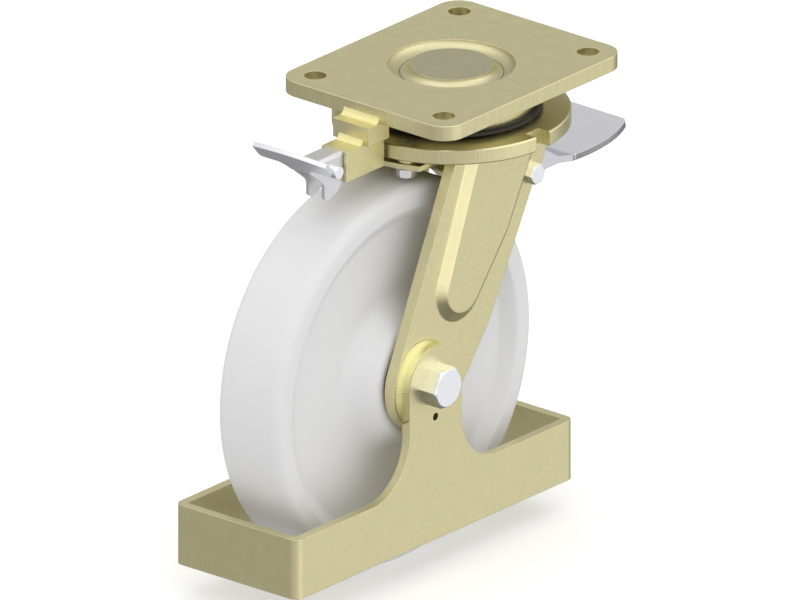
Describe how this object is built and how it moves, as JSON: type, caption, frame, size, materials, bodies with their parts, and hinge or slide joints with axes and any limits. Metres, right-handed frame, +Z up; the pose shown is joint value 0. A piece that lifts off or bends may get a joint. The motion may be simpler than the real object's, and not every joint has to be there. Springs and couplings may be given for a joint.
{
  "type": "heavy duty swivel castor",
  "caption": "Heavy plate-mounted swivel castor with a cast nylon wheel, pedal-pressed wheel brake, directional lock and a foot guard round the wheel.",
  "frame": {"origin": "centre of the top plate's upper face, on the kingpin's axis", "axes": "+X is the way the castor travels, the wheel trailing towards -X; +Y is to its left; +Z is up, out of the plate's upper face"},
  "size_m": [0.3442, 0.1494, 0.305],
  "materials": {
    "yellow_zinc": "zinc plated steel, yellow passivated, satin",
    "weld_bead": "smooth weld bead, zinc plated over",
    "bright_zinc": "zinc plated steel, clear passivated, satin",
    "bearing_steel": "ground and hardened steel",
    "seal_rubber": "moulded, semi-matt",
    "cast_nylon": "cast polyamide, turned, satin"
  },
  "bodies": {
    "head": {"top_plate": "yellow_zinc", "kingpin": "yellow_zinc", "bearing_skirt": "yellow_zinc", "lock_block": "yellow_zinc", "lock_guide": "yellow_zinc", "kingpin_washer": "yellow_zinc", "kingpin_nut": "yellow_zinc", "plate_weld": "weld_bead", "guide_weld": "weld_bead", "upper_race": "bearing_steel", "bearing_cone": "bearing_steel", "bearing_seal": "seal_rubber"},
    "fork": {"fork_head": "yellow_zinc", "fork_leg_right": "yellow_zinc", "fork_leg_left": "yellow_zinc", "foot_guard": "yellow_zinc", "axle_sleeve": "yellow_zinc", "guard_weld_right": "weld_bead", "guard_weld_left": "weld_bead", "lower_race": "bearing_steel", "thrust_balls": "bearing_steel", "bearing_cup": "bearing_steel", "bearing_rollers": "bearing_steel", "axle_bolt": "bright_zinc", "axle_nut": "bright_zinc", "pedal_bolt": "bright_zinc", "pedal_nut": "bright_zinc", "leaf_bolts": "bright_zinc", "leaf_spacers": "bright_zinc"},
    "wheel": {"wheel": "cast_nylon", "wheel_bearing_right": "bearing_steel", "wheel_bearing_left": "bearing_steel", "hub_seal_right": "seal_rubber", "hub_seal_left": "seal_rubber"},
    "brake_pedal": {"brake_pedal": "bright_zinc"},
    "brake_leaf": {"brake_leaf": "yellow_zinc"},
    "lock_drawbar": {"lock_drawbar": "bright_zinc", "lever_pin": "bright_zinc"},
    "lock_lever": {"lock_lever": "bright_zinc"},
    "lock_bolt": {"lock_bolt": "bearing_steel", "lock_dowel": "bearing_steel"}
  },
  "joints": [
    {"name": "swivel", "type": "hinge", "parent": "head", "child": "fork", "pos_m": [0, 0, 0], "axis": [0, 0, 1], "continuous": true},
    {"name": "wheel_spin", "type": "hinge", "parent": "fork", "child": "wheel", "pos_m": [-0.075, 0, -0.18], "axis": [0, 1, 0], "continuous": true},
    {"name": "brake_pedal_press", "type": "hinge", "parent": "fork", "child": "brake_pedal", "pos_m": [0.0255, 0, -0.07], "axis": [0, 1, 0], "range_deg": [0, 30]},
    {"name": "brake_leaf_bend", "type": "hinge", "parent": "fork", "child": "brake_leaf", "pos_m": [-0.065, 0, -0.04275], "axis": [0, 1, 0], "range_deg": [0, 4.2]},
    {"name": "lock_slide", "type": "slide", "parent": "head", "child": "lock_drawbar", "axis": [-1, 0, 0], "range_m": [0, 0.0063]},
    {"name": "lock_lever_turn", "type": "hinge", "parent": "lock_drawbar", "child": "lock_lever", "pos_m": [-0.122, 0, -0.0335], "axis": [0, -1, 0], "range_deg": [0, 66]},
    {"name": "lock_bolt_slide", "type": "slide", "parent": "lock_drawbar", "child": "lock_bolt", "axis": [1, 0, 0], "range_m": [0, 0.0056]}
  ],
  "couplings": [
    {"joint": "brake_leaf_bend", "follows": "brake_pedal_press", "ratio": 0.137},
    {"joint": "lock_slide", "follows": "lock_lever_turn", "m_per_rad": 0.0053823}
  ]
}
